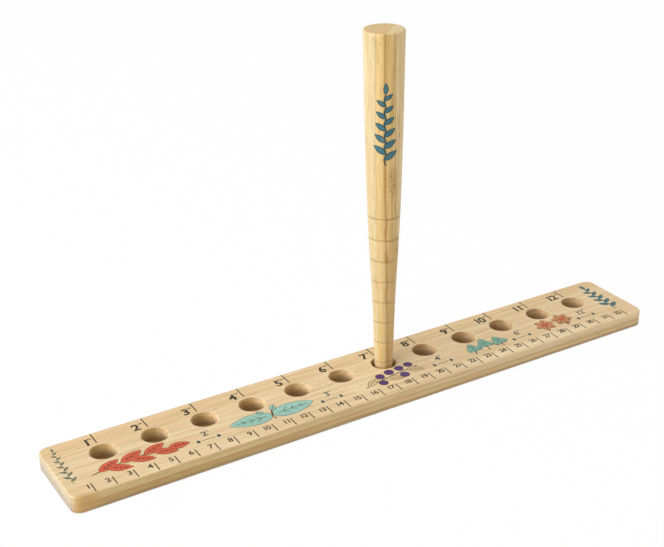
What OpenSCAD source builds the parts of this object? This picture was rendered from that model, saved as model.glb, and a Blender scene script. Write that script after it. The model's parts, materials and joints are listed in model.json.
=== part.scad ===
// Seed-spacing board of laminated bamboo with a turned bamboo dibber standing in one of its holes.
// Millimetres, +Z up. The origin is the middle of the board's underside, and +X runs along the scale.

/* [Hole row] */
// Number of planting holes along the board
hole_count = 12; // [8:1:14]
// Distance from one hole to the next, which is one inch
hole_pitch = 25.4; // [22:0.1:30]
// Diameter of a planting hole
hole_d = 13; // [11:0.1:15]
// Number of the hole that the dibber stands in, counted from the left end
dibber_hole = 7; // [1:1:8]

/* [Board] */
// Wood from the left end to the zero of the scale
zero_inset = 0.4; // [0:0.1:6]
// Wood from the last hole's centre to the right end
end_margin = 26.8; // [15:0.1:40]
// Wood from the front edge to the hole centres
front_margin = 28.7; // [26:0.1:36]
// Wood from the hole centres to the back edge
back_margin = 17.7; // [16:0.1:24]
// Thickness of the upper ply
top_ply_t = 3.8; // [2.8:0.1:6]
// Thickness of the lower ply
base_ply_t = 4.7; // [2.8:0.1:6]
// Rounding of the edges, above and below
edge_r = 0.8; // [0.4:0.1:2.4]
// Rounding of the corners, seen from above
corner_r = 5; // [3:0.1:9]

/* [Bamboo strips of the board] */
// Width of the strip that the holes are drilled in
strip_w = 22.5; // [20:0.5:26]
// Wood between the holes and the seam behind them, upper ply
top_land = 1.5; // [1:0.1:3]
// Wood between the holes and the seam in front of them, lower ply
base_land = 4.5; // [3:0.1:6]

/* [Dibber] */
// Length from the tip to the flat end
dibber_len = 183; // [150:1:230]
// Height at which the rounded nose begins
nose_h = 9; // [6:0.5:10]
// Diameter where the nose begins
nose_d = 9.4; // [8:0.1:11]
// Height of the thin shank's upper end
shank_h = 45; // [35:1:60]
// Diameter there
shank_d = 11.6; // [10:0.1:12.4]
// Height at which the taper eases into the grip
swell_h = 88; // [75:1:105]
// Diameter there
swell_d = 15.8; // [14:0.1:18]
// Height of the middle of the grip
grip_h = 130; // [115:1:140]
// Diameter there
grip_d = 18.1; // [16:0.1:20]
// Diameter at the flat end
top_d = 19.9; // [18:0.1:24]
// Rounding of the flat end's rim
rim_r = 0.8; // [0.3:0.1:2]

/* [Depth grooves] */
// Number of turned depth grooves
groove_count = 8; // [4:1:8]
// Height of the lowest groove
groove_first = 10.8; // [10.6:0.1:16]
// Distance from one groove to the next
groove_pitch = 11.5; // [9:0.1:13]
// Width of a groove at the surface
groove_w = 1; // [0.5:0.1:1.6]
// Depth of a groove
groove_depth = 0.35; // [0.2:0.05:0.8]

/* [Bamboo strips of the dibber] */
// Thickness of one strip in the glued blank
lamina_t = 4.3; // [3.6:0.1:4.9]
// Distance from the axis to the middle of the core strip
core_shift = 0.65; // [0:0.05:1.5]
// Turn of the strips about the axis
lamina_turn = -47.5; // [-90:0.5:90]
// Least wood of an outer cheek under a groove, where its feathered foot ends
feather_land = 0.3; // [0.2:0.05:0.8]

/* [Hidden] */

$fn = 96;
cut_over = 1;
profile_steps = 26;
arc_step = 15;

// Sizes of the board, and the places of its scale and holes
board_l = zero_inset + hole_count * hole_pitch + end_margin;
board_w = front_margin + back_margin;
board_t = top_ply_t + base_ply_t;
front_y = -board_w / 2;
back_y = board_w / 2;
hole_y = back_y - back_margin;
function hole_x(number) = zero_inset - board_l / 2 + number * hole_pitch;

// Seams between the strips, staggered from ply to ply
top_back_seam = hole_y + hole_d / 2 + top_land;
top_front_seam = top_back_seam - strip_w;
base_front_seam = hole_y - hole_d / 2 - base_land;
base_back_seam = base_front_seam + strip_w;

// Glue planes of the dibber's blank, measured across the strips from the axis
core_low = core_shift - lamina_t / 2;
core_high = core_shift + lamina_t / 2;
left_plane = core_low - lamina_t;
right_plane = core_high + lamina_t;

// Height and diameter of the dibber at each station, joined by a smooth curve
stations = [
    [nose_h, nose_d],
    [shank_h, shank_d],
    [swell_h, swell_d],
    [grip_h, grip_d],
    [dibber_len, top_d],
];
last_station = len(stations) - 1;

function rise(i) = (stations[i + 1][1] - stations[i][1]) / (stations[i + 1][0] - stations[i][0]);
function station_slope(i) =
    i == 0 ? rise(0) :
    i == last_station ? rise(last_station - 1) :
    (rise(i - 1) + rise(i)) / 2;
function stretch_at(h, i = 0) =
    i == last_station - 1 || h <= stations[i + 1][0] ? i : stretch_at(h, i + 1);
function hermite(t, from, to, slope_from, slope_to) =
    (2 * pow(t, 3) - 3 * pow(t, 2) + 1) * from +
    (pow(t, 3) - 2 * pow(t, 2) + t) * slope_from +
    (3 * pow(t, 2) - 2 * pow(t, 3)) * to +
    (pow(t, 3) - pow(t, 2)) * slope_to;
function dibber_r(h) =
    let (i = stretch_at(h))
    let (run = stations[i + 1][0] - stations[i][0])
    let (t = (h - stations[i][0]) / run)
    hermite(
        t,
        stations[i][1],
        stations[i + 1][1],
        run * station_slope(i),
        run * station_slope(i + 1)
    ) / 2;

// Height from which the turned body leaves enough wood for a cheek beyond a glue plane
foot_step = 0.5;
function cheek_foot(plane) = [
    for (h = [nose_h : foot_step : dibber_len])
    if (dibber_r(h) > abs(plane) + groove_depth + feather_land)
    h
][0];

// Outline of the turned dibber on one side of its axis, from the tip to the flat end
shoulder_h = dibber_len - rim_r;
shoulder_r = dibber_r(shoulder_h);
nose_points = [
    for (a = [0 : arc_step : 90 - arc_step])
    [nose_d / 2 * sin(a), nose_h * (1 - cos(a))]
];
body_points = [
    for (i = [0 : profile_steps])
    let (h = nose_h + (shoulder_h - nose_h) * i / profile_steps)
    [dibber_r(h), h]
];
rim_points = [
    for (a = [arc_step : arc_step : 90])
    [shoulder_r - rim_r + rim_r * cos(a), shoulder_h + rim_r * sin(a)]
];

// Section of the board with its four edges rounded
module edge_section(width) {
    translate([edge_r - width / 2, 0])
        square([width - 2 * edge_r, board_t]);
    translate([-width / 2, edge_r])
        square([width, board_t - 2 * edge_r]);
    for (side = [-1, 1], level = [edge_r, board_t - edge_r])
        translate([side * (width / 2 - edge_r), level])
            circle(edge_r);
}

module corner_post() {
    rotate_extrude()
        intersection() {
            edge_section(2 * corner_r);
            square([corner_r, board_t]);
        }
}

// The whole board before it is drilled: two crossed bars with rounded edges and four corners
module board_blank() {
    inner_l = board_l - 2 * corner_r;
    inner_w = board_w - 2 * corner_r;
    translate([-inner_l / 2, 0, 0])
        rotate([90, 0, 90])
            linear_extrude(inner_l)
                edge_section(board_w);
    translate([0, inner_w / 2, 0])
        rotate([90, 0, 0])
            linear_extrude(inner_w)
                edge_section(board_l);
    for (x = [-1, 1], y = [-1, 1])
        translate([x * inner_l / 2, y * inner_w / 2, 0])
            corner_post();
}

module ruler_strip(low_y, high_y, low_z, high_z) {
    intersection() {
        board_blank();
        translate([-board_l / 2 - cut_over, low_y, low_z])
            cube([board_l + 2 * cut_over, high_y - low_y, high_z - low_z]);
    }
}

module hole_row() {
    for (number = [1 : hole_count])
        translate([hole_x(number), hole_y, -cut_over])
            cylinder(d = hole_d, h = board_t + 2 * cut_over);
}

module groove_cut(h) {
    r = dibber_r(h);
    polygon([
        [r - groove_depth, h],
        [r + groove_depth, h - groove_w],
        [r + groove_depth, h + groove_w],
    ]);
}

module dibber_turned() {
    rotate_extrude()
        difference() {
            polygon(concat(nose_points, body_points, rim_points, [[0, dibber_len]]));
            for (i = [0 : groove_count - 1])
                groove_cut(groove_first + i * groove_pitch);
        }
}

// Room between two planes across the strips, from a height up to past the flat end
module strip_room(low, high, from_h) {
    rotate(lamina_turn)
        translate([low, -top_d, from_h])
            cube([high - low, 2 * top_d, dibber_len + cut_over - from_h]);
}

module left_cheek_room() {
    strip_room(-top_d, left_plane, cheek_foot(left_plane));
}

module right_cheek_room() {
    strip_room(right_plane, top_d, cheek_foot(right_plane));
}

// Stands a piece of the dibber in its hole
module in_dibber_hole() {
    translate([hole_x(dibber_hole), hole_y, 0])
        children();
}

module ruler_top_front_strip() {
    color("burlywood")
        ruler_strip(front_y - cut_over, top_front_seam, base_ply_t, board_t + cut_over);
}

module ruler_top_hole_strip() {
    color("wheat")
        difference() {
            ruler_strip(top_front_seam, top_back_seam, base_ply_t, board_t + cut_over);
            hole_row();
        }
}

module ruler_top_back_strip() {
    color("burlywood")
        ruler_strip(top_back_seam, back_y + cut_over, base_ply_t, board_t + cut_over);
}

module ruler_base_front_strip() {
    color("tan")
        ruler_strip(front_y - cut_over, base_front_seam, -cut_over, base_ply_t);
}

module ruler_base_hole_strip() {
    color("burlywood")
        difference() {
            ruler_strip(base_front_seam, base_back_seam, -cut_over, base_ply_t);
            hole_row();
        }
}

module ruler_base_back_strip() {
    color("tan")
        ruler_strip(base_back_seam, back_y + cut_over, -cut_over, base_ply_t);
}

module dibber_left_cheek() {
    color("navajowhite")
        in_dibber_hole()
            intersection() {
                dibber_turned();
                left_cheek_room();
            }
}

module dibber_left_strip() {
    color("moccasin")
        in_dibber_hole()
            difference() {
                intersection() {
                    dibber_turned();
                    strip_room(-top_d, core_low, -cut_over);
                }
                left_cheek_room();
            }
}

module dibber_core_strip() {
    color("burlywood")
        in_dibber_hole()
            intersection() {
                dibber_turned();
                strip_room(core_low, core_high, -cut_over);
            }
}

module dibber_right_strip() {
    color("tan")
        in_dibber_hole()
            difference() {
                intersection() {
                    dibber_turned();
                    strip_room(core_high, top_d, -cut_over);
                }
                right_cheek_room();
            }
}

module dibber_right_cheek() {
    color("burlywood")
        in_dibber_hole()
            intersection() {
                dibber_turned();
                right_cheek_room();
            }
}

ruler_top_front_strip();
ruler_top_hole_strip();
ruler_top_back_strip();
ruler_base_front_strip();
ruler_base_hole_strip();
ruler_base_back_strip();
dibber_left_cheek();
dibber_left_strip();
dibber_core_strip();
dibber_right_strip();
dibber_right_cheek();
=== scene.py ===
import json
import math

import bpy
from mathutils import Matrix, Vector


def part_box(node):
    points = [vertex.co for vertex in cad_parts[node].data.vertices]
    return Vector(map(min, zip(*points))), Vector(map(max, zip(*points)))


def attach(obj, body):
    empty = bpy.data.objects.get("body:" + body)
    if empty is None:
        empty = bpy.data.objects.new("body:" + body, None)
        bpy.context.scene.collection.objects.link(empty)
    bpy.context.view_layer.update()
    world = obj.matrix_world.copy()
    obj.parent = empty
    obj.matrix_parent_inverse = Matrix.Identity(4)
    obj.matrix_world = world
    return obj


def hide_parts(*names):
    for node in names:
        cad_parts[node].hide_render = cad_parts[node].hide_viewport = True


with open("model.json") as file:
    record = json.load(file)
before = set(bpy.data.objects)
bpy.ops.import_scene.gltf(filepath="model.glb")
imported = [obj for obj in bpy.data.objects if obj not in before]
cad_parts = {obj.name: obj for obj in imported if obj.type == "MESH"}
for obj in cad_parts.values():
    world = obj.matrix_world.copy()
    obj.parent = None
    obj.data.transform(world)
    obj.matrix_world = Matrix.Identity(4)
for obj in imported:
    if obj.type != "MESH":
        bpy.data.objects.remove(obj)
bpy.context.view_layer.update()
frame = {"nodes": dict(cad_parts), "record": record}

record = frame["record"]
mm = 0.001
print("frame loaded,", len(frame["nodes"]), "CAD nodes")


# selecting and finishing

def pick(*objs):
    if bpy.context.mode != "OBJECT":
        bpy.ops.object.mode_set(mode="OBJECT")
    bpy.ops.object.select_all(action="DESELECT")
    for obj in objs:
        obj.select_set(True)
    bpy.context.view_layer.objects.active = objs[0]
    return objs[0]


def choose(obj, kind, test):
    # leaves obj in edit mode, with the vertices, edges or faces selected that pass the test
    pick(obj)
    bpy.ops.object.mode_set(mode="EDIT")
    bpy.ops.mesh.select_mode(type=kind)
    bpy.ops.mesh.select_all(action="DESELECT")
    bpy.ops.object.mode_set(mode="OBJECT")
    mesh = obj.data
    if kind == "VERT":
        for vert in mesh.vertices:
            vert.select = test(vert.co)
    elif kind == "EDGE":
        for edge in mesh.edges:
            edge.select = test(*[mesh.vertices[i].co for i in edge.vertices])
    else:
        for face in mesh.polygons:
            face.select = test(face.center, face.normal)
    bpy.ops.object.mode_set(mode="EDIT")


def selectAllOf(obj, kind="FACE"):
    choose(obj, kind, lambda *any: True)
    bpy.ops.mesh.select_all(action="SELECT")


def leaveMesh():
    bpy.ops.object.mode_set(mode="OBJECT")


def bakePlace(obj):
    pick(obj)
    bpy.ops.object.transform_apply(location=True, rotation=True, scale=True)
    return obj


def modify(obj, kind, **settings):
    pick(obj)
    modifier = obj.modifiers.new(kind.lower(), kind)
    for key, value in settings.items():
        setattr(modifier, key, value)
    bpy.ops.object.modifier_apply(modifier=modifier.name)


def copyOf(obj):
    pick(obj)
    bpy.ops.object.duplicate()
    return bpy.context.object


def joinAll(objs):
    pick(*objs)
    if len(objs) > 1:
        bpy.ops.object.join()
    return bpy.context.object


def settle(obj, name, body, slot, *nodes):
    obj.name = name
    obj.data.name = name
    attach(obj, body)
    if nodes:
        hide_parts(*nodes)


def near(a, b, room=0.01 * mm):
    return abs(a - b) < room


# shader nodes

def shade(red, green, blue):
    # a colour as a screen shows it, turned into linear light
    def linear(value):
        part = value / 255
        return part / 12.92 if part <= 0.04045 else ((part + 0.055) / 1.055) ** 2.4
    return (linear(red), linear(green), linear(blue), 1.0)


def wire(tree, socket, value):
    if isinstance(value, bpy.types.NodeSocket):
        tree.links.new(value, socket)
    else:
        socket.default_value = value


def addNode(tree, kind, values=None, **settings):
    node = tree.nodes.new(kind)
    for key, value in settings.items():
        setattr(node, key, value)
    for key, value in (values or {}).items():
        wire(tree, node.inputs[key], value)
    return node


def calc(tree, operation, *values):
    node = addNode(tree, "ShaderNodeMath", operation=operation)
    for socket, value in zip(node.inputs, values):
        wire(tree, socket, value)
    return node.outputs[0]


def calcVector(tree, operation, *values):
    node = addNode(tree, "ShaderNodeVectorMath", operation=operation)
    for socket, value in zip(node.inputs, values):
        wire(tree, socket, value)
    return node.outputs["Value" if operation in ("DOT_PRODUCT", "LENGTH") else "Vector"]


def fade(tree, value, start, end, low=0.0, high=1.0):
    ends = {"Value": value, "From Min": start, "From Max": end, "To Min": low, "To Max": high}
    node = addNode(tree, "ShaderNodeMapRange", ends, interpolation_type="SMOOTHSTEP")
    return node.outputs["Result"]


def tint(tree, amount, first, second, blend="MIX"):
    node = addNode(tree, "ShaderNodeMix", data_type="RGBA", blend_type=blend)
    wire(tree, node.inputs[0], amount)
    wire(tree, node.inputs[6], first)     # colour A
    wire(tree, node.inputs[7], second)    # colour B
    return node.outputs[2]


def useGroup(tree, group, **values):
    node = addNode(tree, "ShaderNodeGroup", node_tree=group)
    for key, value in values.items():
        wire(tree, node.inputs[key], value)
    return node.outputs


def startGroup(name, inputs, outputs):
    group = bpy.data.node_groups.new(name, "ShaderNodeTree")
    for label, kind in inputs.items():
        group.interface.new_socket(label, in_out="INPUT", socket_type="NodeSocket" + kind)
    for label in outputs:
        group.interface.new_socket(label, in_out="OUTPUT", socket_type="NodeSocketFloat")
    given = group.nodes.new("NodeGroupInput").outputs
    result = group.nodes.new("NodeGroupOutput").inputs
    return group, given, result


def newMaterial(name):
    material = bpy.data.materials.new(name)
    material.use_nodes = True
    return material, material.node_tree, material.node_tree.nodes["Principled BSDF"]


# bamboo: fibres, pores and end grain, with the grain along X and lengths in millimetres

grain = {
    # repeats per millimetre along and across the grain, then the noise's detail and roughness
    "noises": {
        "Streak": (0.016, 0.55, 4.0, 0.62),
        "Dash": (0.07, 1.1, 2.0, 0.55),
        "Fibre": (0.04, 3.2, 3.0, 0.6),
        "Tone": (0.007, 0.08, 2.0, 0.5),
    },
    "seedShift": (17.0, 31.0, 53.0),
    "poreCells": (0.03, 1.35, 1.35),
    "poreEdge": (0.34, 0.12),
    "facing": (0.5, 0.95),
    "speckCells": (0.55, 1.3, 1.3),
    "speckDetail": 3.0,
    "speckEdge": (0.48, 0.62),
    "stainAndShadeEdge": (1.0, 0.25),
    # the span of each noise over which its tone comes in
    "streakSpan": (0.38, 0.62),
    "warmSpan": (0.42, 0.7),
    "lineSpan": (0.52, 0.74),
    "dashSpan": (0.52, 0.7),
    "roughSpan": (0.3, 0.7),
    "poreSink": 0.8,
    "relief": 0.12 * mm,
}


def makeFibreGroup():
    group, given, result = startGroup(
        "bambooFibre",
        {"Place": "Vector", "Seed": "Float"},
        [*grain["noises"], "Pore"],
    )
    shift = calcVector(group, "MULTIPLY", given["Seed"], grain["seedShift"])
    place = calcVector(group, "ADD", given["Place"], shift)
    for label, (along, across, detail, roughness) in grain["noises"].items():
        stretched = calcVector(group, "MULTIPLY", place, (along, across, across))
        values = {"Vector": stretched, "Scale": 1.0, "Detail": detail, "Roughness": roughness}
        wire(group, result[label], addNode(group, "ShaderNodeTexNoise", values).outputs["Fac"])
    cells = calcVector(group, "MULTIPLY", place, grain["poreCells"])
    pore = addNode(group, "ShaderNodeTexVoronoi", {"Vector": cells, "Scale": 1.0}, feature="F1")
    wire(group, result["Pore"], fade(group, pore.outputs["Distance"], *grain["poreEdge"]))
    return group


def makeFacingGroup():
    # where the surface faces along an axis, such as the cut ends
    group, given, result = startGroup("facing", {"Axis": "Vector"}, ["Mask"])
    coords = addNode(group, "ShaderNodeTexCoord")
    facing = calcVector(group, "DOT_PRODUCT", coords.outputs["Normal"], given["Axis"])
    wire(group, result["Mask"], fade(group, calc(group, "ABSOLUTE", facing), *grain["facing"]))
    return group


def makeLineGroup():
    # a glue line, a groove or a band of painted shade, as a soft line across one axis
    group, given, result = startGroup(
        "softLine", {"Place": "Float", "Line": "Float", "Width": "Float"}, ["Mask"]
    )
    away = calc(group, "ABSOLUTE", calc(group, "SUBTRACT", given["Place"], given["Line"]))
    wire(group, result["Mask"], fade(group, away, given["Width"], 0.0))
    return group


def makePatchGroup():
    # a soft stain, also used for a patch of painted shade, and the speckled patch where the cane
    # had a joint
    group, given, result = startGroup(
        "patch", {"Place": "Vector", "Middle": "Vector", "Reach": "Vector"}, ["StainAndShade", "Knuckle"]
    )
    away = calcVector(group, "SUBTRACT", given["Place"], given["Middle"])
    part = calcVector(group, "LENGTH", calcVector(group, "DIVIDE", away, given["Reach"]))
    speckPlace = calcVector(group, "MULTIPLY", given["Place"], grain["speckCells"])
    values = {"Vector": speckPlace, "Scale": 1.0, "Detail": grain["speckDetail"]}
    speck = addNode(group, "ShaderNodeTexNoise", values)
    spots = fade(group, speck.outputs["Fac"], *grain["speckEdge"])
    stainAndShade = fade(group, part, *grain["stainAndShadeEdge"])
    wire(group, result["StainAndShade"], stainAndShade)
    wire(group, result["Knuckle"], calc(group, "MULTIPLY", stainAndShade, spots))
    return group


fibreGroup = makeFibreGroup()
facingGroup = makeFacingGroup()
lineGroup = makeLineGroup()
patchGroup = makePatchGroup()


def grainSpace(tree, lie):
    # object coordinates in millimetres, turned so that the grain runs along X
    # and the dibber's strips stack along Y
    coords = addNode(tree, "ShaderNodeTexCoord")
    moved = calcVector(tree, "SUBTRACT", coords.outputs["Object"], lie["middle"])
    sized = calcVector(tree, "MULTIPLY", moved, (1 / mm,) * 3)
    if not lie["upright"]:
        return sized
    turn = {"Vector": sized, "Angle": -lie["turn"]}
    turned = addNode(tree, "ShaderNodeVectorRotate", turn, rotation_type="Z_AXIS").outputs["Vector"]
    parts = addNode(tree, "ShaderNodeSeparateXYZ", {"Vector": turned}).outputs
    order = {"X": parts["Z"], "Y": parts["X"], "Z": parts["Y"]}
    return addNode(tree, "ShaderNodeCombineXYZ", order).outputs["Vector"]


def bamboo(name, look, lie, seed):
    material, tree, shader = newMaterial(name)
    place = grainSpace(tree, lie)
    fibre = useGroup(tree, fibreGroup, Place=place, Seed=seed)
    end = useGroup(tree, facingGroup, Axis=lie["axis"])["Mask"]
    streak = fade(tree, fibre["Streak"], *grain["streakSpan"])
    colour = tint(tree, streak, shade(*look["pale"]), shade(*look["honey"]))
    warmth = fade(tree, fibre["Tone"], *grain["warmSpan"], 0.0, look["warmth"])
    colour = tint(tree, warmth, colour, shade(*look["warm"]))
    lines = fade(tree, fibre["Fibre"], *grain["lineSpan"], 0.0, look["lines"])
    colour = tint(tree, lines, colour, shade(*look["deep"]))
    dashes = fade(tree, fibre["Dash"], *grain["dashSpan"], 0.0, look["dashes"])
    colour = tint(tree, dashes, colour, shade(*look["deep"]))
    parts = addNode(tree, "ShaderNodeSeparateXYZ", {"Vector": place}).outputs
    if not lie["upright"]:
        # painted shade: what faces the long sides is darkened by a tint that changes along the
        # scale
        side = useGroup(tree, facingGroup, Axis=(0, 1, 0))["Mask"]
        along = fade(tree, parts["X"], *look["sideShadeReach"])
        sideShade = tint(tree, along, shade(*look["sideShadeStart"]), shade(*look["sideShadeEnd"]))
        colour = tint(tree, side, colour, tint(tree, 1.0, colour, sideShade, "MULTIPLY"))
    endShare = calc(tree, "MULTIPLY", end, look["endShare"])
    colour = tint(tree, endShare, colour, shade(*look["endTone"]))
    poreDepth = fade(tree, end, 0.0, 1.0, look["pores"], look["endPores"])
    pores = calc(tree, "MULTIPLY", fibre["Pore"], poreDepth)
    colour = tint(tree, pores, colour, shade(*look["deep"]))
    for axis, line, width, depth, tone in lie["lines"]:
        mask = useGroup(tree, lineGroup, Place=parts[axis], Line=line, Width=width)["Mask"]
        strength = fade(tree, end, 0.0, 1.0, depth, depth * look["endLines"])
        colour = tint(tree, calc(tree, "MULTIPLY", mask, strength), colour, shade(*tone))
    for kind, middle, reach, depth, tone in look["patches"]:
        mask = useGroup(tree, patchGroup, Place=place, Middle=middle, Reach=reach)[kind]
        colour = tint(tree, calc(tree, "MULTIPLY", mask, depth), colour, shade(*tone))
    wire(tree, shader.inputs["Base Color"], colour)
    roughness = fade(tree, fibre["Fibre"], *grain["roughSpan"], *look["roughness"])
    wire(tree, shader.inputs["Roughness"], roughness)
    shader.inputs["Specular IOR Level"].default_value = look["specular"]
    sunk = calc(tree, "MULTIPLY", pores, grain["poreSink"])
    relief = calc(tree, "SUBTRACT", fibre["Fibre"], sunk)
    bump = {"Height": relief, "Strength": look["bump"], "Distance": grain["relief"]}
    wire(tree, shader.inputs["Normal"], addNode(tree, "ShaderNodeBump", bump).outputs["Normal"])
    return material


# sizes taken from the frame

def spanOf(nodes):
    lows, highs = zip(*[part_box(node) for node in nodes])
    return Vector(map(min, *lows)), Vector(map(max, *highs))


bodies = record["behaviour"]["bodies"]
boardLow, boardHigh = spanOf(bodies["ruler"])
boardTop = boardHigh.z
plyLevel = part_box("ruler_top_hole_strip")[0].z
bores = [mount for mount in record["mounts"] if mount["kind"] == "bore"]
holeRadius = bores[0]["dims"]["r_mm"] * mm
holeY = bores[0]["pos_m"][1]
freeHoles = sorted(bore["pos_m"][0] for bore in bores)
inch = freeHoles[1] - freeHoles[0]
inchZero = freeHoles[0] - inch
holeCount = round((freeHoles[-1] - inchZero) / inch)
holeRow = [inchZero + inch * number for number in range(1, holeCount + 1)]
dibberLow, dibberHigh = spanOf(bodies["dibber"])
dibberAxis = Vector(((dibberLow.x + dibberHigh.x) / 2, (dibberLow.y + dibberHigh.y) / 2, 0))
print("holes along the board:", len(holeRow))


# the photograph's camera

viewpoint = {
    "place": (-0.3019, -0.4777, 0.3326),
    "azimuth": 32.741,
    "elevation": 25.382,
    "lens": 69.47,
    "shiftX": -0.0693,
}


# ruler: one rounded blank, cut into its strips, with the hole strips drilled last

ruler = {
    "cornerRound": 5.0 * mm,
    "cornerSteps": 12,
    "edgeRound": 0.8 * mm,
    "edgeSteps": 5,
    "holeSides": 96,
    "holeEase": 0.35 * mm,
    "holeEaseSteps": 3,
    "rimRoom": 0.1 * mm,
    "wallTilt": 0.3,
    "seamEase": 0.06 * mm,
    "smoothAngle": 35,
    "seedStep": 1.7,
    "firstSeeds": {"top": 0, "base": 9.3},
    # lines in the wood: width and depth of the glue lines; painted shade along the board's foot and
    # deep in the bores
    "glueTone": (150, 108, 62),
    "glueDepth": 0.3,
    "seamWidth": 0.2,
    "plyWidth": 0.25,
    # painted shade: the board darker along its foot, just above the floor
    "footShadeTone": (96, 84, 66),
    "footShadeRise": 1.0,
    "footShadeReach": 1.5,
    "footShadeDepth": 0.35,
    # painted shade: the walls of the bores darker towards the bottom of the board
    "boreShadeTone": (100, 56, 16),
    "boreShadeLine": 2.0,
    "boreShadeReach": 5.2,
    "boreShadeDepth": 0.64,
}

rulerLook = {
    "pale": (242, 217, 175),
    "honey": (228, 199, 152),
    "warm": (231, 197, 148),
    "warmth": 0.4,
    "deep": (178, 134, 84),
    "lines": 0.3,
    "dashes": 0.3,
    "pores": 0.1,
    "endPores": 0.22,
    "endTone": (198, 182, 154),
    "endShare": 0.85,
    # painted shade: the long sides darker towards the left end
    "sideShadeReach": (-166.0, 120.0),
    "sideShadeStart": (237, 231, 205),
    "sideShadeEnd": (255, 255, 255),
    "endLines": 1.0,
    "patches": [
        ("StainAndShade", (-10.0, -9.0, 8.5), (15.0, 8.0, 4.0), 0.45, (246, 224, 184)),
        ("Knuckle", (-14.0, -5.0, 8.5), (15.0, 5.0, 4.0), 0.25, (178, 134, 84)),
        ("StainAndShade", (84.0, -19.5, 8.5), (80.0, 5.5, 4.0), 0.45, (252, 234, 196)),
        ("Knuckle", (118.0, 16.0, 8.5), (11.0, 4.0, 4.0), 0.2, (178, 134, 84)),
        ("StainAndShade", (-161.0, -23.2, 4.0), (11.0, 5.0, 9.0), 0.7, (206, 162, 98)),
    ],
    "roughness": (0.42, 0.6),
    "specular": 0.35,
    "bump": 0.22,
}
backRowLook = {
    **rulerLook,
    "pale": (239, 211, 164),
    "honey": (224, 192, 142),
    "warm": (228, 190, 139),
}
baseLook = {
    **rulerLook,
    "pale": (234, 203, 153),
    "honey": (216, 180, 127),
    "warm": (216, 176, 122),
    "endTone": (177, 168, 149),
    # painted shade: the long sides darker towards the left end
    "sideShadeStart": (236, 233, 214),
}
boreLook = {
    **rulerLook,
    "pale": (251, 225, 180),
    "honey": (238, 206, 157),
    "warm": (232, 196, 146),
    "deep": (124, 76, 30),
    "dashes": 0.15,
    "pores": 0.45,
    "endPores": 0.7,
    "endShare": 0.0,
    # painted shade: bore walls that face the long sides darker, most towards the right end
    "sideShadeEnd": (234, 224, 208),
    # painted shade: the bore walls browner over the right half of the board
    "patches": [("StainAndShade", (100.0, 5.5, 4.5), (130.0, 40.0, 40.0), 0.38, (176, 140, 96))],
    "roughness": (0.6, 0.8),
    "specular": 0.2,
    "bump": 0.5,
}


def makeBlank():
    bpy.ops.mesh.primitive_cube_add(size=1, location=(boardLow + boardHigh) / 2)
    blank = bpy.context.object
    blank.scale = boardHigh - boardLow
    bakePlace(blank)
    choose(blank, "EDGE", lambda a, b: not near(a.z, b.z))
    bpy.ops.mesh.bevel(offset=ruler["cornerRound"], segments=ruler["cornerSteps"], affect="EDGES")
    choose(
        blank,
        "EDGE",
        lambda a, b: near(a.z, b.z) and (near(a.z, boardTop) or near(a.z, boardLow.z)),
    )
    bpy.ops.mesh.bevel(offset=ruler["edgeRound"], segments=ruler["edgeSteps"], affect="EDGES")
    leaveMesh()
    return blank


def atHole(point):
    reach = holeRadius + ruler["rimRoom"]
    return any(math.hypot(point.x - x, point.y - holeY) < reach for x in holeRow)


def drill(strip, rim):
    depth = 3 * (boardTop - boardLow.z)    # well through the board
    drills = []
    for x in holeRow:
        bpy.ops.mesh.primitive_cylinder_add(
            vertices=ruler["holeSides"], radius=holeRadius, depth=depth, location=(x, holeY, 0)
        )
        drills.append(bpy.context.object)
    cutter = bakePlace(joinAll(drills))
    modify(strip, "BOOLEAN", object=cutter, operation="DIFFERENCE", solver="EXACT")
    bpy.data.objects.remove(cutter)
    choose(
        strip,
        "EDGE",
        lambda a, b: near(a.z, rim) and near(b.z, rim) and atHole(a) and atHole(b),
    )
    bpy.ops.mesh.bevel(offset=ruler["holeEase"], segments=ruler["holeEaseSteps"], affect="EDGES")
    leaveMesh()


def cut(obj, point, normal):
    # keeps what lies on the normal's side of the plane, and closes the cut
    selectAllOf(obj)
    bpy.ops.mesh.bisect(plane_co=point, plane_no=normal, use_fill=True, clear_inner=True)
    leaveMesh()


def easeSeam(obj, axis, level):
    choose(obj, "EDGE", lambda a, b: near(a[axis], level) and near(b[axis], level))
    bpy.ops.mesh.bevel(offset=ruler["seamEase"], segments=1, affect="EDGES")
    leaveMesh()


def smooth(obj, angle):
    pick(obj)
    bpy.ops.object.shade_smooth_by_angle(angle=math.radians(angle))
    modify(obj, "WEIGHTED_NORMAL", weight=80, keep_sharp=True)


def dressBores(strip, material):
    # the holes' walls take the strip's second material
    strip.data.materials.append(material)
    tilt = ruler["wallTilt"]
    choose(strip, "FACE", lambda middle, normal: abs(normal.z) < tilt and atHole(middle))
    strip.active_material_index = 1
    bpy.ops.object.material_slot_assign()
    leaveMesh()


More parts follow.
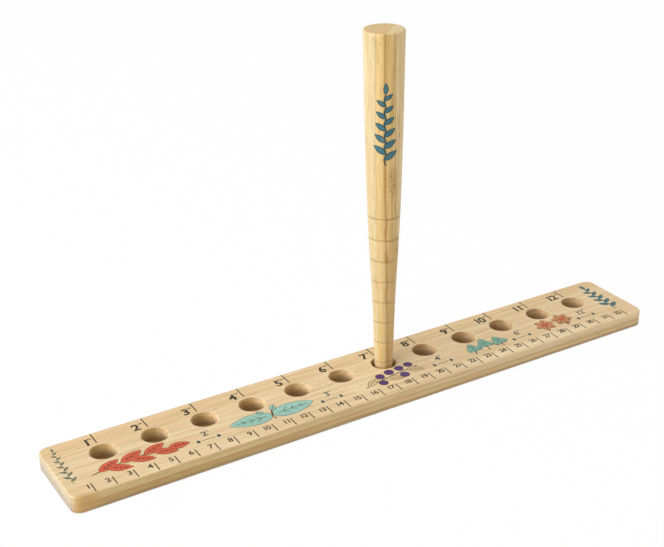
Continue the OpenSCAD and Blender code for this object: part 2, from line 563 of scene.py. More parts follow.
def makeRuler():
    blank = makeBlank()
    level = plyLevel
    # painted shade deep in the bores
    boreShade = ("Z", ruler["boreShadeLine"], ruler["boreShadeReach"], ruler["boreShadeDepth"], ruler["boreShadeTone"])
    rulerAxis = {"middle": (0, 0, 0), "upright": False, "axis": (1, 0, 0)}
    boreLie = {**rulerAxis, "lines": [boreShade]}
    plies = {
        "top": (1, boardTop, "ruler_face_bamboo", [rulerLook, rulerLook, backRowLook]),
        "base": (-1, boardLow.z, "ruler_base_bamboo", [baseLook] * 3),
    }
    for ply, (side, rim, slot, looks) in plies.items():
        rows = ["front", "hole", "back"]
        boxes = [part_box(f"ruler_{ply}_{row}_strip") for row in rows]
        seams = [box[1].y for box in boxes[:2]]
        glue = (ruler["glueDepth"], ruler["glueTone"])
        lines = [("Y", seam / mm, ruler["seamWidth"], *glue) for seam in seams]
        lines.append(("Z", level / mm, ruler["plyWidth"], *glue))
        # painted shade along the board's foot
        foot = boardLow.z / mm + ruler["footShadeRise"]
        lines.append(("Z", foot, ruler["footShadeReach"], ruler["footShadeDepth"], ruler["footShadeTone"]))
        for number, row in enumerate(rows):
            strip = copyOf(blank)
            cut(strip, (0, 0, level), (0, 0, side))
            if number > 0:
                cut(strip, (0, seams[number - 1], 0), (0, 1, 0))
            if number < 2:
                cut(strip, (0, seams[number], 0), (0, -1, 0))
            easeSeam(strip, 2, level)
            for seam in seams[max(0, number - 1):number + 1]:
                easeSeam(strip, 1, seam)
            if row == "hole":
                drill(strip, rim)
            smooth(strip, ruler["smoothAngle"])
            lie = {**rulerAxis, "lines": lines}
            seed = ruler["seedStep"] * number + ruler["firstSeeds"][ply]
            wood = bamboo(f"{ply}{row.title()}Bamboo", looks[number], lie, seed)
            strip.data.materials.append(wood)
            if row == "hole":
                dressBores(strip, bamboo(f"{ply}BoreBamboo", boreLook, boreLie, seed))
            settle(strip, f"{ply}_ply_{row}_strip", "ruler", slot, f"ruler_{ply}_{row}_strip")
    bpy.data.objects.remove(blank)
    print("ruler made: two plies of three strips")


makeRuler()


# dibber: a turned profile spun round its axis, then sawn along its glue planes

dibber = {
    "stations": [(9.0, 9.4), (45.0, 11.6), (88.0, 15.8), (130.0, 18.1), (183.0, 19.9)],
    "bodySteps": 64,
    "noseSteps": 10,
    "rimRound": 0.8,
    "rimSteps": 5,
    "grooves": [10.8 + 11.5 * number for number in range(8)],
    "grooveWidth": 1.0,
    "grooveDepth": 0.35,
    "grooveClear": 0.3,
    # a groove's section: shares of its half width and of its depth
    "grooveShape": [(-1.2, 0), (-1, 0.06), (-0.3, 0.85), (0, 1), (0.3, 0.85), (1, 0.06), (1.2, 0)],
    "sides": 176,
    "weld": 0.002 * mm,
    "smoothAngle": 20,
    "firstSeed": 21,
    "seedStep": 2.3,
    "turn": math.radians(-47.5),
    "planes": [-5.8, -1.5, 2.8, 7.1],
    "glueWidths": [0.28, 0.3, 0.75, 0.35],
    "glueDepths": [0.25, 0.3, 0.8, 0.4],
    "glueTone": (168, 118, 54),
    "burntTone": (136, 92, 44),
    "burntReach": 0.75,
    "burntDepth": 0.55,
}

lightLook = {
    **rulerLook,
    "pale": (227, 210, 167),
    "honey": (215, 193, 144),
    "warm": (213, 187, 136),
    "deep": (176, 130, 74),
    "dashes": 0.4,
    "pores": 0.16,
    "endPores": 0.4,
    "endTone": (212, 178, 118),
    "endLines": 0.3,
    "patches": [("Knuckle", (179.5, -3.0, -9.5), (3.0, 4.0, 4.0), 0.3, (160, 128, 78))],
    "roughness": (0.4, 0.54),
}
honeyLook = {
    **lightLook,
    "pale": (238, 209, 148),
    "honey": (226, 189, 120),
    "warm": (224, 183, 112),
    "patches": [
        ("Knuckle", (179.5, 1.0, -9.5), (3.0, 3.0, 4.0), 0.3, (160, 128, 78)),
        ("StainAndShade", (45.0, 0.5, -6.0), (90.0, 6.0, 9.0), 0.4, (226, 201, 150)),
        ("StainAndShade", (130.0, 2.8, -7.5), (110.0, 2.4, 7.0), 0.4, (216, 170, 98)),
        ("StainAndShade", (112.0, 2.8, -7.5), (24.0, 1.5, 4.0), 0.55, (184, 132, 66)),
        ("StainAndShade", (84.0, 2.8, -7.0), (6.0, 1.3, 4.0), 0.6, (176, 124, 58)),
        ("StainAndShade", (71.0, 2.8, -6.5), (7.0, 1.1, 4.0), 0.5, (176, 124, 58)),
        ("StainAndShade", (49.0, 2.8, -5.5), (8.0, 1.2, 4.0), 0.55, (176, 124, 58)),
    ],
}
tanLook = {
    **lightLook,
    "pale": (231, 198, 133),
    "honey": (214, 177, 108),
    "warm": (210, 168, 100),
    "endTone": (226, 200, 150),
    "patches": [
        ("StainAndShade", (30.0, 6.0, -2.0), (75.0, 9.0, 12.0), 0.4, (224, 192, 136)),
        ("Knuckle", (111.0, 6.4, -7.0), (12.0, 4.0, 5.0), 0.55, (150, 104, 50)),
        ("StainAndShade", (111.0, 6.4, -7.0), (11.0, 4.0, 5.0), 0.25, (170, 124, 66)),
        ("StainAndShade", (88.0, 2.8, -7.0), (9.0, 1.2, 4.0), 0.5, (170, 120, 56)),
        ("StainAndShade", (70.0, 2.8, -6.5), (5.0, 1.5, 4.0), 0.6, (170, 120, 56)),
        ("StainAndShade", (56.0, 2.8, -6.0), (7.0, 1.2, 4.0), 0.55, (170, 120, 56)),
    ],
}
cheekLook = {
    **tanLook,
    "pale": (246, 220, 168),
    "honey": (230, 198, 139),
    "warm": (225, 190, 129),
}


def dibberRadius(height):
    # smooth curve through the stations, in millimetres
    stations = dibber["stations"]
    last = len(stations) - 1
    i = next((k for k in range(last) if height <= stations[k + 1][0]), last - 1)
    (h0, d0), (h1, d1) = stations[i], stations[i + 1]

    def rise(k):
        return (stations[k + 1][1] - stations[k][1]) / (stations[k + 1][0] - stations[k][0])

    def slope(k):
        if k in (0, last):
            return rise(min(k, last - 1))
        return (rise(k - 1) + rise(k)) / 2

    run = h1 - h0
    t = (height - h0) / run
    return (
        (2 * t**3 - 3 * t**2 + 1) * d0
        + (t**3 - 2 * t**2 + t) * run * slope(i)
        + (3 * t**2 - 2 * t**3) * d1
        + (t**3 - t**2) * run * slope(i + 1)
    ) / 2


def dibberProfile():
    noseTop, noseWide = dibber["stations"][0]
    end = dibber["stations"][-1][0]
    shoulder = end - dibber["rimRound"]
    points = []
    for step in range(dibber["noseSteps"]):
        angle = math.pi / 2 * step / dibber["noseSteps"]
        points.append((noseWide / 2 * math.sin(angle), noseTop * (1 - math.cos(angle))))
    half = dibber["grooveWidth"] / 2
    room = half + dibber["grooveClear"]
    steps = dibber["bodySteps"]
    levels = [noseTop + (shoulder - noseTop) * k / steps for k in range(steps + 1)]
    body = [(h, 0.0) for h in levels if all(abs(h - groove) > room for groove in dibber["grooves"])]
    for groove in dibber["grooves"]:
        for part, depth in dibber["grooveShape"]:
            body.append((groove + part * half, depth * dibber["grooveDepth"]))
    points += [(dibberRadius(h) - depth, h) for h, depth in sorted(body)]
    rim = dibber["rimRound"]
    inner = dibberRadius(shoulder) - rim
    for step in range(1, dibber["rimSteps"] + 1):
        angle = math.pi / 2 * step / dibber["rimSteps"]
        points.append((inner + rim * math.cos(angle), shoulder + rim * math.sin(angle)))
    points.append((0.0, end))
    return points


def turnDibber():
    bpy.ops.mesh.primitive_plane_add(size=1 * mm, location=dibberAxis)
    turned = bakePlace(bpy.context.object)
    selectAllOf(turned, "VERT")
    bpy.ops.mesh.merge(type="CENTER")
    profile = dibberProfile()
    for (r0, h0), (r1, h1) in zip(profile, profile[1:]):
        step = ((r1 - r0) * mm, 0, (h1 - h0) * mm)
        bpy.ops.mesh.extrude_region_move(TRANSFORM_OT_translate={"value": step})
    bpy.ops.mesh.select_all(action="SELECT")
    bpy.ops.mesh.spin(steps=dibber["sides"], angle=2 * math.pi, center=dibberAxis, axis=(0, 0, 1))
    bpy.ops.mesh.select_all(action="SELECT")
    bpy.ops.mesh.remove_doubles(threshold=dibber["weld"])
    bpy.ops.mesh.normals_make_consistent(inside=False)
    leaveMesh()
    return turned


def makeDibber():
    turned = turnDibber()
    across = Vector((math.cos(dibber["turn"]), math.sin(dibber["turn"]), 0))
    planes = dibber["planes"]
    glueLines = zip(planes, dibber["glueWidths"], dibber["glueDepths"])
    lines = [("Y", plane, width, depth, dibber["glueTone"]) for plane, width, depth in glueLines]
    burnt = (dibber["burntReach"], dibber["burntDepth"], dibber["burntTone"])
    lines += [("X", groove, *burnt) for groove in dibber["grooves"]]
    lie = {
        "middle": tuple(dibberAxis),
        "upright": True,
        "turn": dibber["turn"],
        "axis": (0, 0, 1),
        "lines": lines,
    }
    names = ["left_cheek", "left_strip", "core_strip", "right_strip", "right_cheek"]
    looks = [lightLook, lightLook, honeyLook, tanLook, cheekLook]
    for number, (name, look) in enumerate(zip(names, looks)):
        strip = copyOf(turned)
        if number > 0:
            cut(strip, dibberAxis + across * planes[number - 1] * mm, across)
        if number < len(planes):
            cut(strip, dibberAxis + across * planes[number] * mm, -across)
        pick(strip)
        bpy.ops.object.shade_smooth_by_angle(angle=math.radians(dibber["smoothAngle"]))
        seed = dibber["firstSeed"] + dibber["seedStep"] * number
        title = "dibber" + name.title().replace("_", "")
        strip.data.materials.append(bamboo(title, look, lie, seed))
        settle(strip, f"turned_{name}", "dibber", "dibber_bamboo", f"dibber_{name}")
    print("dibber made: five strips")
    return turned


turnedBody = makeDibber()


# print: flat shapes drawn in millimetres, each on its own level of ink so that none lies in another

inks = {
    "layer": 0.008 * mm,
    "depth": 0.3 * mm,
    "tones": {
        "dark": (46, 41, 18),
        "teal": (36, 74, 76),
        "blue": (66, 118, 132),
        "grey": (112, 118, 98),
        "orange": (226, 98, 66),
        "mint": (160, 206, 190),
        "purple": (86, 58, 114),
        "green": (136, 188, 166),
        "tan": (222, 150, 102),
        "bare": (226, 196, 150),
    },
    "grainTone": (200, 164, 114),
    "grainShow": 0.4,
    "showSpan": (0.54, 0.76),
    "dimSpan": (0.3, 0.7),
    "dim": 0.16,
    "seed": 5.0,
    "roughness": (0.55, 0.72),
    "specular": 0.3,
    "lineWidth": 0.3,
    "outline": 0.25,
    "curveSteps": 6,
    "discSides": 28,
    "discInset": 0.2,
    "tickRound": 0.12,
}
lettering = {
    "heightShare": 0.72,       # the figures' height as a share of the font's size
    "spacing": 0.82,
    "curveSteps": 4,
    "inchMarkLength": 0.2,     # the inch mark's strokes, as shares of the figures' height
    "inchMarkWidth": 0.125,
    "inchMarkShifts": (0.12, 0.3),
}
leafKinds = {"pointed": (0.75, 0.95), "broad": (0.5, 0.75)}
rulerLie = {"middle": (0, 0, 0), "upright": False}
dibberLie = {"middle": tuple(dibberAxis), "upright": True, "turn": dibber["turn"]}


def inkFinish(name, tone, lie):
    # the grain shows faintly through the print
    material, tree, shader = newMaterial(name)
    fibre = useGroup(tree, fibreGroup, Place=grainSpace(tree, lie), Seed=inks["seed"])
    dim = fade(tree, fibre["Streak"], *inks["dimSpan"], 0.0, inks["dim"])
    colour = tint(tree, dim, shade(*tone), (0.0, 0.0, 0.0, 1.0))
    thin = fade(tree, fibre["Fibre"], *inks["showSpan"], 0.0, inks["grainShow"])
    wire(tree, shader.inputs["Base Color"], tint(tree, thin, colour, shade(*inks["grainTone"])))
    roughness = fade(tree, fibre["Fibre"], *grain["roughSpan"], *inks["roughness"])
    wire(tree, shader.inputs["Roughness"], roughness)
    shader.inputs["Specular IOR Level"].default_value = inks["specular"]
    return material


rulerInks = {name: inkFinish(f"{name}Ink", tone, rulerLie) for name, tone in inks["tones"].items()}
handleInks = {
    name: inkFinish(f"{name}HandleInk", inks["tones"][name], dibberLie) for name in ("teal", "blue")
}


def makeLeaf(kind, along=14, across=2):
    # a flat leaf of unit length and width round the origin, its foot on -X and its tip on +X
    foot, tip = leafKinds[kind]
    thin = 0.001    # the width left at both ends
    widest = foot / (foot + tip)
    bpy.ops.mesh.primitive_grid_add(x_subdivisions=along, y_subdivisions=across, size=1)
    leaf = bakePlace(bpy.context.object)
    for step in range(along // 2):
        start = 0.5 - step / along
        moved = 0.5 * math.cos(math.pi * step / along)    # columns crowd towards both ends
        choose(leaf, "VERT", lambda spot: near(abs(spot.x), start, thin))
        bpy.ops.transform.resize(value=(moved / start, 1, 1), center_override=(0, 0, 0))
        for side in (-1, 1):
            part = 0.5 + side * moved
            width = (part / widest) ** foot * ((1 - part) / (1 - widest)) ** tip
            middle = (side * moved, 0, 0)
            choose(leaf, "VERT", lambda spot: near(spot.x, side * moved, thin))
            bpy.ops.transform.resize(value=(1, max(width, thin), 1), center_override=middle)
    selectAllOf(leaf, "VERT")
    bpy.ops.mesh.remove_doubles(threshold=2 * thin)
    leaveMesh()
    return leaf


def makeDisc():
    bpy.ops.mesh.primitive_circle_add(vertices=inks["discSides"], radius=0.5, fill_type="NGON")
    disc = bakePlace(bpy.context.object)
    selectAllOf(disc)
    bpy.ops.mesh.inset(thickness=inks["discInset"])
    leaveMesh()
    return disc


def makeTick():
    bpy.ops.mesh.primitive_plane_add(size=1)
    tick = bakePlace(bpy.context.object)
    selectAllOf(tick, "VERT")
    bpy.ops.mesh.bevel(offset=inks["tickRound"], segments=2, affect="VERTICES")
    leaveMesh()
    return tick


def stamp(shape, level, x, y, angle, length, width):
    # a copy of a unit shape, with its middle at x, y
    mark = copyOf(shape)
    mark.location = (x * mm, y * mm, level * inks["layer"])
    mark.rotation_euler = (0, 0, math.radians(angle))
    mark.scale = (length * mm, width * mm, 1)
    return bakePlace(mark)


def ahead(x, y, angle, distance):
    heading = math.radians(angle)
    return x + distance * math.cos(heading), y + distance * math.sin(heading)


def stampLeaf(shape, level, leaf, grow=0.0):
    x, y, angle, length, width = leaf
    middle = ahead(x, y, angle, length / 2)
    return stamp(shape, level, *middle, angle, length + 2 * grow, width + 2 * grow)


def drawLines(lines, level, width):
    # flat ribbons along smooth curves
    bpy.ops.curve.primitive_bezier_curve_add()
    drawing = bpy.context.object
    curve = drawing.data
    curve.splines.clear()
    curve.dimensions = "3D"
    curve.twist_mode = "Z_UP"
    curve.extrude = width / 2 * mm
    curve.resolution_u = inks["curveSteps"]
    for points in lines:
        spline = curve.splines.new("BEZIER")
        spline.bezier_points.add(len(points) - 1)
        for knot, (x, y) in zip(spline.bezier_points, points):
            knot.co = (x * mm, y * mm, level * inks["layer"])
            knot.tilt = math.pi / 2
            knot.handle_left_type = knot.handle_right_type = "AUTO"
    bpy.ops.object.convert(target="MESH")
    return bpy.context.object


def numeral(text, height, weight, x, y, align):
    # the baseline ends or has its middle at x, y
    bpy.ops.object.text_add()
    label = bpy.context.object
    label.data.body = text
    label.data.size = height / lettering["heightShare"] * mm
    label.data.offset = weight * mm
    label.data.align_x = align
    label.data.space_character = lettering["spacing"]
    label.data.resolution_u = lettering["curveSteps"]
    bpy.ops.object.convert(target="MESH")
    label = bpy.context.object
    edge = max(corner.co.x for corner in label.data.vertices) if align == "RIGHT" else 0.0
    label.location = (x * mm - edge, y * mm, inks["layer"])
    return bakePlace(label)


def inchMark(x, y, height):
    # two small strokes whose top is level with the figures' top
    length = height * lettering["inchMarkLength"]
    width = height * lettering["inchMarkWidth"]
    return [
        stamp(tickShape, 1, x + shift * height, y + height - length / 2, 90, length, width)
        for shift in lettering["inchMarkShifts"]
    ]


def faceUp(sheet):
    choose(sheet, "FACE", lambda middle, normal: normal.z < 0)
    bpy.ops.mesh.flip_normals()
    leaveMesh()


def lay(flats, tone):
    # the ink's face stands on its level, and its body soaks into the wood
    sheet = joinAll(flats)
    faceUp(sheet)
    sheet.location.z = boardTop
    bakePlace(sheet)
    modify(sheet, "SOLIDIFY", thickness=inks["depth"], offset=-1.0)
    sheet.data.materials.clear()
    sheet.data.materials.append(rulerInks[tone])
    return sheet


leafShapes = {kind: makeLeaf(kind) for kind in leafKinds}
discShape = makeDisc()
tickShape = makeTick()


# scales: inches along the back edge, centimetres along the front edge

scales = {
    "inch": {
        "zero": inchZero / mm,
        "pitch": inch / mm,
        "count": len(holeRow),
        "tickWidth": 0.62,
        "tickFrom": 22.4,
        "tickTo": 13.8,
        "figures": 5.4,
        "weight": 0.24,
        "baseline": 13.6,
        "figureGap": 3.3,
    },
    "centimetre": {
        "zero": inchZero / mm + 0.9,
        "pitch": 10.0,
        "count": 32,
        "tickWidth": 0.58,
        "tickFrom": -22.4,
        "tickTo": -15.6,
        "figures": 3.4,
        "weight": 0.11,
        "baseline": -19.0,
        "figureGap": 1.35,
    },
}


def makeScale(name, scale):
    marks = []
    middle = (scale["tickFrom"] + scale["tickTo"]) / 2
    reach = abs(scale["tickFrom"] - scale["tickTo"])
    height, baseline = scale["figures"], scale["baseline"]
    for number in range(1, scale["count"] + 1):
        x = scale["zero"] + scale["pitch"] * number
        marks.append(stamp(tickShape, 1, x, middle, 90, reach, scale["tickWidth"]))
        end = x - scale["figureGap"]
        marks.append(numeral(str(number), height, scale["weight"], end, baseline, "RIGHT"))
        if name == "inch":
            marks += inchMark(end, baseline, height)
    settle(lay(marks, "dark"), f"{name}_scale", "ruler", "scale_ink")


for scaleName, scale in scales.items():
    makeScale(scaleName, scale)
print("scales printed")


# plant prints between the holes and the centimetre scale

def ring(x, y, count, first, length, width):
    # leaves or petals round one point
    return [(x, y, first + 360 * number / count, length, width) for number in range(count)]


motifs = {
    "red_leaf_sprig": {
        "leafTone": "orange",
        "kind": "pointed",
        "stems": [[(-152.0, -10.2), (-140.0, -8.2), (-127.0, -7.2), (-113.0, -8.4)]],
        "leaves": [
            (-148.0, -9.4, 26, 12.0, 5.2),
            (-144.0, -8.8, -24, 11.5, 5.0),
            (-137.0, -7.9, 24, 12.5, 5.4),
            (-132.5, -7.5, -26, 11.5, 5.0),
            (-125.5, -7.3, 22, 12.0, 5.2),
            (-121.0, -7.5, -26, 11.0, 4.8),
            (-114.0, -8.3, -4, 10.0, 4.8),
        ],
        "discs": [],
    },
    "mint_leaf_pair": {
        "leafTone": "mint",
        "kind": "broad",
        "stems": [
            [(-60.0, -12.6), (-60.4, -9.5), (-59.4, -6.0), (-58.0, -3.2)],
            [(-60.0, -9.0), (-62.0, -6.2), (-64.2, -4.2)],
        ],
        "leaves": [
            (-60.6, -8.6, 176, 21.5, 9.4),
            (-59.6, -8.4, 2, 22.0, 9.8),
            (-58.2, -4.4, 58, 4.4, 2.6),
            (-63.6, -4.8, 138, 3.4, 2.2),
        ],
        "discs": [],
    },
    "berry_stem": {
        "discTone": "purple",
        "leafTone": "bare",
        "kind": "pointed",
        "stems": [[(-9.0, -11.8), (2.0, -9.4), (13.0, -7.4), (25.0, -6.2)]],
        "leaves": [
            (-7.0, -11.3, 34, 9.0, 3.8),
            (5.0, -8.8, -30, 9.0, 3.8),
            (18.5, -6.7, -26, 9.0, 3.8),
        ],
        "discs": [
            (2.6, -6.0, 4.4),
            (1.0, -12.0, 4.2),
            (8.8, -4.6, 4.6),
            (14.6, -10.6, 4.6),
            (15.4, -3.8, 4.4),
            (21.4, -3.0, 4.2),
        ],
    },
    "green_trefoils": {
        "leafTone": "green",
        "kind": "broad",
        "stems": [
            [(58.0, -13.2), (59.4, -10.6), (59.8, -7.6)],
            [(67.0, -13.4), (67.4, -10.0), (68.0, -6.4)],
            [(76.4, -13.2), (76.0, -10.6), (76.4, -8.0)],
        ],
        "leaves": ring(59.8, -7.6, 3, 90, 4.8, 4.2)
        + ring(68.0, -6.2, 3, 84, 5.0, 4.4)
        + ring(76.4, -7.8, 3, 98, 4.8, 4.2),
        "discs": [],
    },
    "tan_daisies": {
        "discTone": "orange",
        "leafTone": "tan",
        "kind": "broad",
        "stems": [
            [(106.6, -14.2), (107.8, -11.6), (108.4, -8.0)],
            [(120.4, -14.2), (120.0, -11.0), (120.6, -7.0)],
        ],
        "leaves": ring(108.4, -7.4, 6, 10, 5.8, 3.8) + ring(120.6, -6.8, 6, 40, 5.6, 3.7),
        "discs": [(108.4, -7.4, 2.6), (120.6, -6.8, 2.5)],
    },
}


ribs = {
    "midrib": (0.12, 0.5, 0.86),
    "veins": (0.25, 0.45, 0.65),
    "veinAngle": 42,
    "veinReach": 0.42,
    "veinTaper": 1.2,
    "shortest": 9,
}


def ribsOf(leaf):
    # the midrib, and side veins where the leaf is long enough to show them
    x, y, angle, length, width = leaf
    drawn = [[ahead(x, y, angle, length * part) for part in ribs["midrib"]]]
    if length > ribs["shortest"]:
        for part in ribs["veins"]:
            foot = ahead(x, y, angle, length * part)
            reach = width * ribs["veinReach"] * (ribs["veinTaper"] - part)
            for side in (-1, 1):
                drawn.append([foot, ahead(*foot, angle + side * ribs["veinAngle"], reach)])
    return drawn


def printMotif(name, motif):
    # every leaf and disc has a dark rim under its fill, and lies over the ones before it
    leafShape = leafShapes[motif["kind"]]
    outline, line = inks["outline"], inks["lineWidth"]
    level = 1
    dark = [drawLines(motif["stems"], level, 2 * line)]
    fills = []
    for leaf in motif["leaves"]:
        dark.append(stampLeaf(leafShape, level + 1, leaf, outline))
        fills.append(stampLeaf(leafShape, level + 2, leaf))
        dark.append(drawLines(ribsOf(leaf), level + 3, line))
        level += 3
    sheets = [lay(dark, "dark"), lay(fills, motif["leafTone"])]
    if motif["discs"]:
        rims = []
        centres = []
        for x, y, size in motif["discs"]:
            wide = size + 2 * outline
            rims.append(stamp(discShape, level + 1, x, y, 0, wide, wide))
            centres.append(stamp(discShape, level + 2, x, y, 0, size, size))
        sheets += [lay(rims, "dark"), lay(centres, motif["discTone"])]
    settle(joinAll(sheets), name, "ruler", "scale_ink")


for motifName, motif in motifs.items():
    printMotif(motifName, motif)
print("plant prints laid")


# sowing marks: a spacing in inches over two seeds and the line between them

sowing = {
    "marks": [(2, -95.2), (3, -28.6), (4, 37.9), (6, 89.6), (12, 134.4)],
    "figures": 4.0,
    "weight": 0.1,
    "baseline": -7.8,
    "figureWidth": 2.3,
    "seedLevel": -11.0,
    "seedLong": 2.6,
    "seedWide": 1.8,
    "halfSpan": 5.2,
    "lineWidth": 0.4,
}


def makeSowingMarks():
    marks = []
    height, baseline = sowing["figures"], sowing["baseline"]
    level, half = sowing["seedLevel"], sowing["halfSpan"]
    long, wide = sowing["seedLong"], sowing["seedWide"]
    for number, x in sowing["marks"]:
        marks.append(numeral(str(number), height, sowing["weight"], x, baseline, "CENTER"))
        marks += inchMark(x + sowing["figureWidth"] * len(str(number)) / 2, baseline, height)
        for side in (-1, 1):
            seed = (x + side * half, level - long / 2, 90, long, wide)
            marks.append(stampLeaf(leafShapes["broad"], 1, seed))
        reach = half - wide
        line = [(x - reach, level), (x, level), (x + reach, level)]
        marks.append(drawLines([line], 1, sowing["lineWidth"]))
    settle(lay(marks, "teal"), "sowing_marks", "ruler", "scale_ink")


makeSowingMarks()


# leafy twigs: one at each end of the board and one on the handle

twigs = {
    "left_end_twig": {
        "foot": (-160.8, -12.4),
        "tip": (-160.4, 17.0),
        "pairs": 6,
        "leaf": (4.4, 1.7),
        "lean": 50,
        "stem": 0.3,
        "rim": "grey",
        "fill": "grey",
    },
    "right_end_twig": {
        "foot": (155.0, -12.4),
        "tip": (155.6, 14.6),
        "pairs": 5,
        "leaf": (6.8, 3.2),
        "lean": 56,
        "stem": 0.5,
        "rim": "teal",
        "fill": "blue",
    },
    "handle_twig": {
        "foot": (0.4, 119.5),
        "tip": (0.4, 154.5),
        "pairs": 6,
        "leaf": (7.6, 3.4),
        "lean": 54,
        "stem": 0.7,
        "rim": "teal",
        "fill": "blue",
    },
}
twigStyle = {
    "sway": 0.4,
    "rim": 0.45,
    "shrink": 0.35,
    "tipLeaf": 0.75,
    "standOff": 30 * mm,
    "layersUp": 2,
}


def drawTwig(twig, leafShape):
    # the stem, the dark leaves and their lighter middles, each list of flats on its own
    (x0, y0), (x1, y1) = twig["foot"], twig["tip"]
    length, width = twig["leaf"]
    knots = 2 * twig["pairs"]
    stem = []
    leaves = []
    for knot in range(knots + 1):
        part = knot / knots
        side = 1 if knot % 2 else -1
        spot = (x0 + (x1 - x0) * part - side * twigStyle["sway"], y0 + (y1 - y0) * part)
        stem.append(spot)
        size = 1 - twigStyle["shrink"] * part
        if 0 < knot < knots:
            leaves.append((*spot, 90 - side * twig["lean"], length * size, width * size))
    tipSize = twigStyle["tipLeaf"]
    leaves.append((*stem[-1], 90, length * tipSize, width * tipSize))
    rims = [stampLeaf(leafShape, 2, leaf) for leaf in leaves]
    fills = [stampLeaf(leafShape, 3, leaf, -twigStyle["rim"]) for leaf in leaves]
    return drawLines([stem], 1, twig["stem"]), rims, fills


def wrapOnDibber(flats, level, ink):
    # stands the flat print in front of the handle and projects it back on to the turned wood
    sheet = joinAll(flats)
    faceUp(sheet)
    facing = math.radians(viewpoint["azimuth"])
    front = Vector((-math.sin(facing), -math.cos(facing), 0))
    sheet.rotation_euler = (math.pi / 2, 0, -facing)
    sheet.location = dibberAxis + front * twigStyle["standOff"]
    modify(
        sheet,
        "SHRINKWRAP",
        target=turnedBody,
        wrap_method="PROJECT",
        use_project_z=True,
        use_negative_direction=True,
        use_positive_direction=False,
        offset=(twigStyle["layersUp"] + level) * inks["layer"],
    )
    bakePlace(sheet)
    modify(sheet, "SOLIDIFY", thickness=inks["depth"], offset=-1.0)
    sheet.data.materials.clear()
    sheet.data.materials.append(ink)
    return sheet


def makeTwigs():
    for name in ("left_end_twig", "right_end_twig"):
        twig = twigs[name]
        stem, rims, fills = drawTwig(twig, leafShapes["pointed"])
        sheets = [lay([stem] + rims, twig["rim"]), lay(fills, twig["fill"])]
        settle(joinAll(sheets), name, "ruler", "scale_ink")
    wrapped = makeLeaf("pointed", across=6)
    twig = twigs["handle_twig"]
    stem, rims, fills = drawTwig(twig, wrapped)
    sheets = [
        wrapOnDibber([stem], 1, handleInks[twig["rim"]]),
        wrapOnDibber(rims, 2, handleInks[twig["rim"]]),
        wrapOnDibber(fills, 3, handleInks[twig["fill"]]),
    ]
    settle(joinAll(sheets), "handle_twig", "dibber", "scale_ink")
    bpy.data.objects.remove(wrapped)


makeTwigs()
for spare in [*leafShapes.values(), discShape, tickShape, turnedBody]:
    bpy.data.objects.remove(spare)
print("sowing marks and twigs printed")


# stage: white floor, soft light from the left and above, the photograph's camera

studio = {
    "skyLight": 0.17,
    "aim": (0.0, 0.0, 0.04),
    "lamps": {
        "leftSoftbox": {"place": (-2.7, -0.8, 1.25), "size": (4.0, 1.2), "power": 54.0},
        "backSoftbox": {"place": (-2.6, 1.5, 1.0), "size": (3.6, 1.2), "power": 45.0},
        "topSoftbox": {"place": (-0.7, 0.1, 2.9), "size": (2.6, 2.6), "power": 43.0},
        "rightFill": {"place": (2.8, -0.9, 0.45), "size": (1.4, 0.7), "power": 20.0},
    },
    "floorSize": 30.0,
    "floorTone": (241, 241, 240),
    "floorGlow": 0.97,
    "floorRoughness": 0.9,
    "shadeReach": 20 * mm,
    "shadeFade": (0.28, 0.4),
    "shadeSamples": 8,
}


def backgroundRay(tree):
    path = addNode(tree, "ShaderNodeLightPath").outputs
    seen = calc(tree, "MAXIMUM", path["Is Camera Ray"], path["Is Glossy Ray"])
    return calc(tree, "MAXIMUM", seen, path["Is Transmission Ray"])


def makeWorld():
    world = bpy.data.worlds.new("softRoom")
    bpy.context.scene.world = world
    world.use_nodes = True
    tree = world.node_tree
    tree.nodes.clear()
    sky = {"Color": (1, 1, 1, 1), "Strength": studio["skyLight"]}
    ambient = addNode(tree, "ShaderNodeBackground", sky)
    white = addNode(tree, "ShaderNodeBackground", {"Color": (1, 1, 1, 1), "Strength": 1.0})
    mix = addNode(tree, "ShaderNodeMixShader", {"Fac": backgroundRay(tree)})
    tree.links.new(ambient.outputs[0], mix.inputs[1])
    tree.links.new(white.outputs[0], mix.inputs[2])
    output = addNode(tree, "ShaderNodeOutputWorld")
    tree.links.new(mix.outputs[0], output.inputs["Surface"])


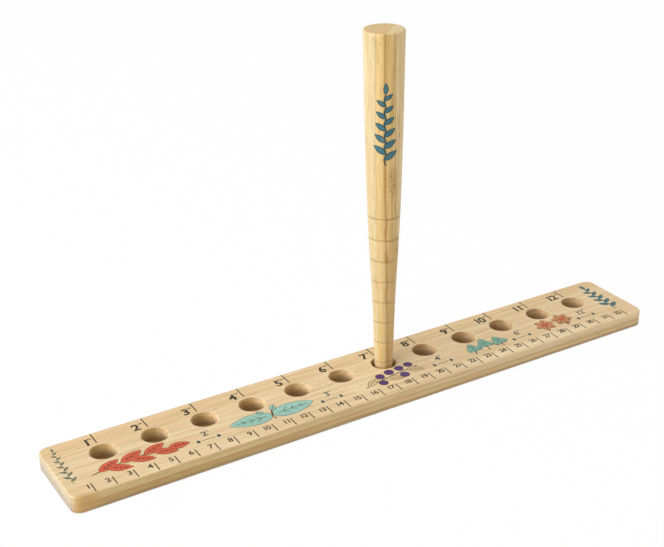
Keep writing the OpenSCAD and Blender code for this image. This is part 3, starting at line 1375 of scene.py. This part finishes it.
def makeFloor():
    bpy.ops.mesh.primitive_plane_add(size=studio["floorSize"], location=(0, 0, boardLow.z))
    floor = bakePlace(bpy.context.object)
    floor.name = "studio_floor"
    material, tree, shader = newMaterial("studioWhite")
    shader.inputs["Base Color"].default_value = shade(*studio["floorTone"])
    shader.inputs["Roughness"].default_value = studio["floorRoughness"]
    shader.inputs["Specular IOR Level"].default_value = 0.0
    glow = addNode(tree, "ShaderNodeEmission", {"Color": (1, 1, 1, 1), "Strength": 1.0})
    # the floor stays in shade at the foot of the holes
    reach = {"Distance": studio["shadeReach"]}
    around = addNode(tree, "ShaderNodeAmbientOcclusion", reach, samples=studio["shadeSamples"])
    clear = fade(tree, around.outputs["AO"], *studio["shadeFade"], 0.0, studio["floorGlow"])
    share = calc(tree, "MULTIPLY", backgroundRay(tree), clear)
    mix = addNode(tree, "ShaderNodeMixShader", {"Fac": share})
    tree.links.new(shader.outputs[0], mix.inputs[1])
    tree.links.new(glow.outputs[0], mix.inputs[2])
    tree.links.new(mix.outputs[0], tree.nodes["Material Output"].inputs["Surface"])
    floor.data.materials.append(material)


def makeLamps():
    for name, lamp in studio["lamps"].items():
        light = bpy.data.lights.new(name, "AREA")
        light.shape = "ELLIPSE"
        light.size, light.size_y = lamp["size"]
        light.energy = lamp["power"]
        softbox = bpy.data.objects.new(name, light)
        bpy.context.scene.collection.objects.link(softbox)
        softbox.location = lamp["place"]
        aim = Vector(studio["aim"]) - Vector(lamp["place"])
        softbox.rotation_euler = aim.to_track_quat("-Z", "Y").to_euler()


def makeCamera():
    lens = bpy.data.cameras.new("photoView")
    lens.lens = viewpoint["lens"]
    lens.shift_x = viewpoint["shiftX"]
    lens.clip_start = 0.01
    camera = bpy.data.objects.new("photoView", lens)
    bpy.context.scene.collection.objects.link(camera)
    camera.location = viewpoint["place"]
    camera.rotation_euler = (
        math.radians(90 - viewpoint["elevation"]), 0, math.radians(-viewpoint["azimuth"])
    )
    bpy.context.scene.camera = camera


makeWorld()
makeFloor()
makeLamps()
makeCamera()
bpy.context.scene.view_settings.view_transform = "Standard"
print("stage set")
